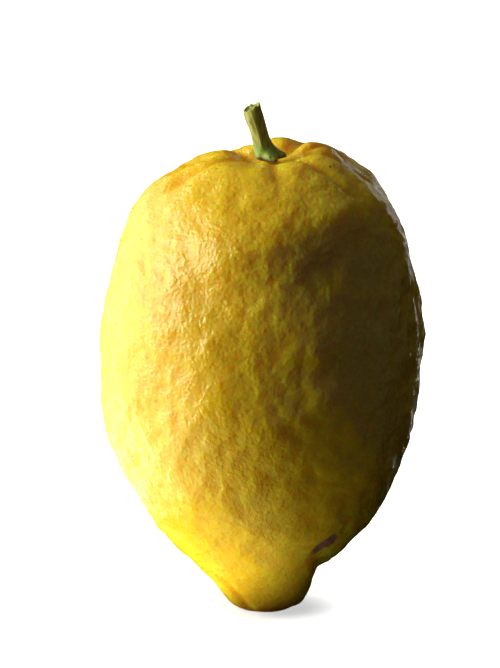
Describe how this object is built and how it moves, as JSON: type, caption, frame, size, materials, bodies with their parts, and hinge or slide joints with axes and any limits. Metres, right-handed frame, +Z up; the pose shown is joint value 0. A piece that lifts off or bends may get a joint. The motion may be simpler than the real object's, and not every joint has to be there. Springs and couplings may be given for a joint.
{
  "type": "lemon",
  "caption": "Whole ripe lemon with a rough, furrowed rind and a short cut stem, standing on the small flat spot at its tip.",
  "frame": {"origin": "middle of the bounding box, on the surface that the fruit stands on", "axes": "+Z up along the fruit from its tip to its stem, -Y the front that the scar beside the tip faces, +X to the right"},
  "size_m": [0.0702, 0.0674, 0.1119],
  "materials": {
    "rind": "satin",
    "stem": "matte"
  },
  "bodies": {
    "root": {"fruit": "rind", "stem": "stem"}
  },
  "joints": []
}
